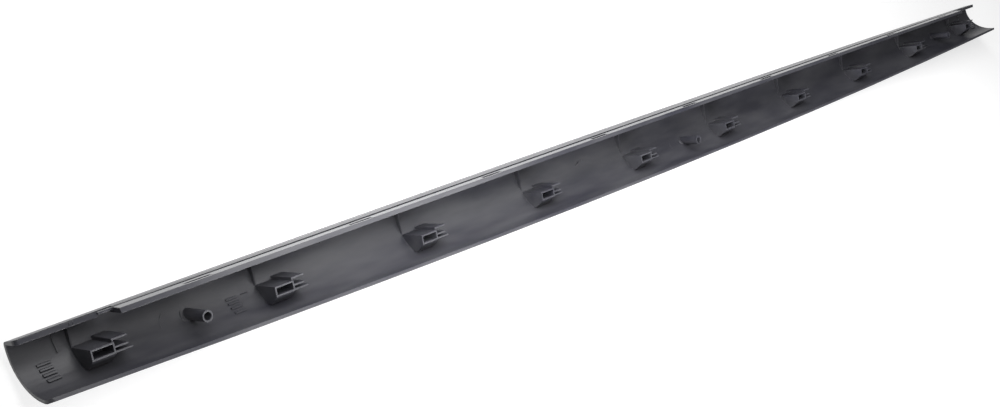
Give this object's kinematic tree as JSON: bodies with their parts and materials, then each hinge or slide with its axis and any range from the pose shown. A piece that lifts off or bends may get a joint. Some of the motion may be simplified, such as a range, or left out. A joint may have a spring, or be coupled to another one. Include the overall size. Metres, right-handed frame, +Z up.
{
  "type": "tailgate moulding",
  "caption": "Long curved plastic channel that caps the top edge of a pickup tailgate, with a front lip, clip towers and screw bosses moulded inside.",
  "frame": {"origin": "middle of the part's box, at its lowest level", "axes": "+X along the tailgate, +Y towards the front lip, +Z up as the part rests on its rounded side with its mouth up"},
  "size_m": [1.58, 0.0702, 0.0391],
  "materials": {
    "tailgate_moulding": "moulded black plastic, satin inside, smoother and glossier along the lip"
  },
  "bodies": {
    "root": {"tailgate_moulding": "tailgate_moulding"}
  },
  "joints": []
}
